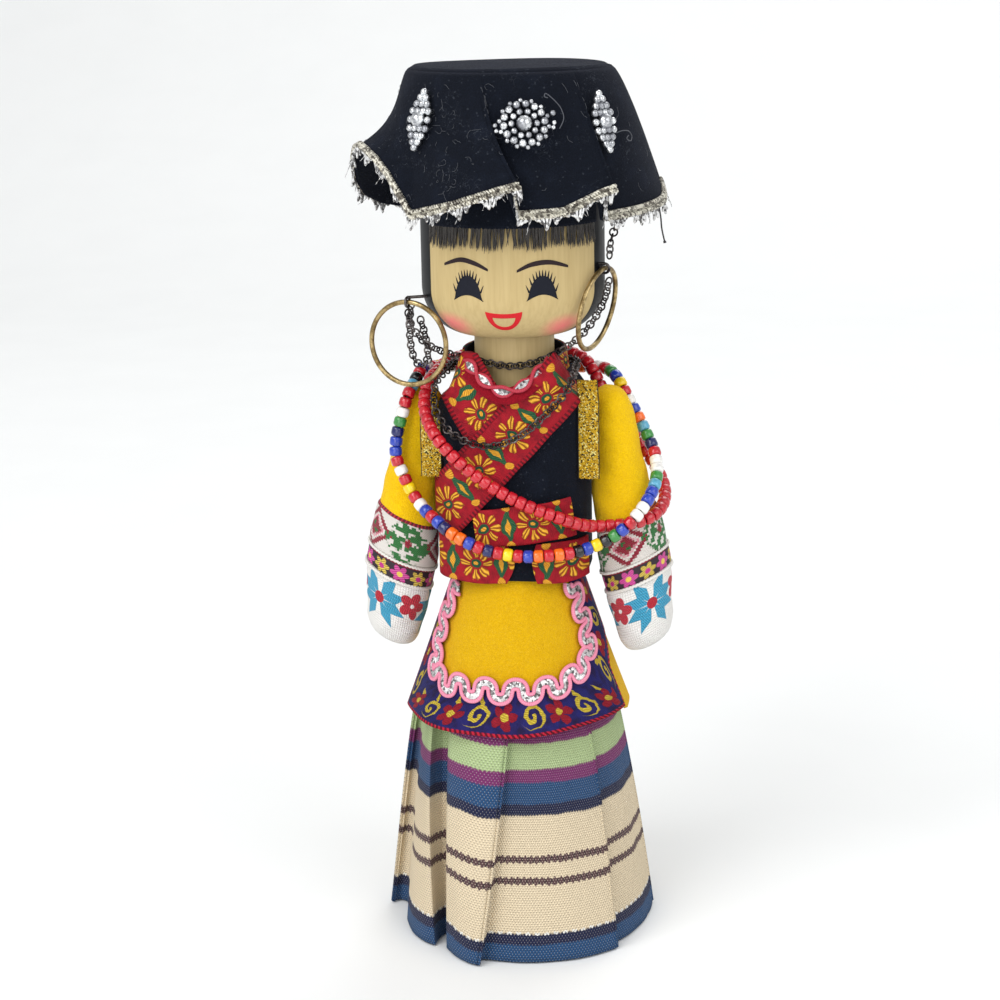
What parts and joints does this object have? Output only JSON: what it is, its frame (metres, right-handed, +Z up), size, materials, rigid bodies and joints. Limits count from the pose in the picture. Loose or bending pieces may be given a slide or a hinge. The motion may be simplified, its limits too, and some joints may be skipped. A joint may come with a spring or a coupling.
{
  "type": "wooden folk doll",
  "caption": "Turned wooden doll in festival dress with a velvet hat, hoop earrings, bead strands, stuffed swinging arms and a turning head.",
  "frame": {"origin": "centre of the underside of the round wooden foot, on the surface the doll stands on", "axes": "+Z up along the turned body, the face towards -Y, +X to the right of someone facing the doll"},
  "size_m": [0.0838, 0.0797, 0.2283],
  "materials": {
    "wood": "bare turned wood",
    "wood_face": "bare wood with painted features and glossy black hair",
    "skirt_cloth": "coarse plain weave with striped borders",
    "tape": "plain tape",
    "yellow_felt": "yellow felt",
    "border_ribbon": "blue woven ribbon with flowers",
    "pink_braid": "pink cord with silver thread",
    "black_velvet": "black velvet",
    "red_ribbon": "red jacquard ribbon with flowers",
    "gold_trim": "gold lame ribbon",
    "silver_braid": "silver lace braid",
    "hair": "black hair strands",
    "dark_chain": "dark chain",
    "silver": "silver",
    "hoop_metal": "pale brass wire",
    "thread": "bead thread",
    "diamond_cloth": "white weave with red diamonds",
    "floral_cloth": "dark floral ribbon",
    "hand_cloth": "white weave with turquoise and red flowers",
    "bead_red": "opaque red glass",
    "bead_blue": "opaque blue glass",
    "bead_navy": "opaque navy glass",
    "bead_white": "opaque white glass",
    "bead_yellow": "opaque yellow glass",
    "bead_orange": "opaque orange glass",
    "bead_green": "opaque lime glass",
    "bead_black": "opaque black glass",
    "bead_light_blue": "opaque light blue glass"
  },
  "bodies": {
    "torso": {"foot": "wood", "body_peg": "wood", "shoulder_dowel": "wood", "waist_tape": "tape", "skirt": "skirt_cloth", "tunic_front": "yellow_felt", "tunic_back": "yellow_felt", "apron_border": "border_ribbon", "apron_ricrac": "pink_braid", "vest": "black_velvet", "lapel_under": "red_ribbon", "lapel_over": "red_ribbon", "front_tab": "red_ribbon", "hem_ribbon_left": "red_ribbon", "hem_ribbon_right": "red_ribbon", "collar": "red_ribbon", "neck_braid": "pink_braid", "armhole_trim_left": "gold_trim", "armhole_trim_right": "gold_trim", "chest_chain": "dark_chain", "red_thread": "thread", "mixed_thread": "thread", "red_strand_beads": "bead_red", "mixed_beads_red": "bead_red", "mixed_beads_blue": "bead_blue", "mixed_beads_navy": "bead_navy", "mixed_beads_white": "bead_white", "mixed_beads_yellow": "bead_yellow", "mixed_beads_orange": "bead_orange", "mixed_beads_green": "bead_green", "mixed_beads_black": "bead_black", "mixed_beads_light_blue": "bead_light_blue"},
    "head": {"head": "wood_face", "hair_fringe": "hair", "hat_top": "black_velvet", "hat_veil": "black_velvet", "hat_braid": "silver_braid", "medallion_left": "silver", "medallion_centre": "silver", "medallion_right": "silver", "ear_pin_left": "dark_chain", "ear_pin_right": "dark_chain", "chin_chain": "dark_chain", "ear_chain_left": "dark_chain", "ear_chain_right": "dark_chain"},
    "hoop_left": {"hoop_left": "hoop_metal"},
    "hoop_right": {"hoop_right": "hoop_metal"},
    "arm_left": {"arm_core_left": "wood", "sleeve_left": "yellow_felt", "cuff_diamond_left": "diamond_cloth", "cuff_floral_left": "floral_cloth", "cuff_hand_left": "hand_cloth"},
    "arm_right": {"arm_core_right": "wood", "sleeve_right": "yellow_felt", "cuff_diamond_right": "diamond_cloth", "cuff_floral_right": "floral_cloth", "cuff_hand_right": "hand_cloth"}
  },
  "joints": [
    {"name": "head_turn", "type": "hinge", "parent": "torso", "child": "head", "pos_m": [0, 0, 0.1614], "axis": [0, 0, 1], "range_deg": [-15, 15]},
    {"name": "arm_swing_left", "type": "hinge", "parent": "torso", "child": "arm_left", "pos_m": [-0.025, 0, 0.14], "axis": [1, 0, 0], "range_deg": [-20, 20], "deforming": ["red_thread", "mixed_thread", "red_strand_beads", "mixed_beads_red", "mixed_beads_blue", "mixed_beads_navy", "mixed_beads_white", "mixed_beads_yellow", "mixed_beads_orange", "mixed_beads_green", "mixed_beads_black", "mixed_beads_light_blue"]},
    {"name": "arm_swing_right", "type": "hinge", "parent": "torso", "child": "arm_right", "pos_m": [0.025, 0, 0.14], "axis": [1, 0, 0], "range_deg": [-20, 20], "deforming": ["red_thread", "mixed_thread", "red_strand_beads", "mixed_beads_red", "mixed_beads_blue", "mixed_beads_navy", "mixed_beads_white", "mixed_beads_yellow", "mixed_beads_orange", "mixed_beads_green", "mixed_beads_black", "mixed_beads_light_blue"]},
    {"name": "hoop_swing_left", "type": "hinge", "parent": "head", "child": "hoop_left", "pos_m": [-0.02559, -0.01276, 0.1707], "axis": [0.9563, -0.2924, 0], "range_deg": [-50, 4]},
    {"name": "hoop_swing_right", "type": "hinge", "parent": "head", "child": "hoop_right", "pos_m": [0.0244, -0.00631, 0.1786], "axis": [0.309, 0.9511, 0], "range_deg": [-40, 0]}
  ]
}
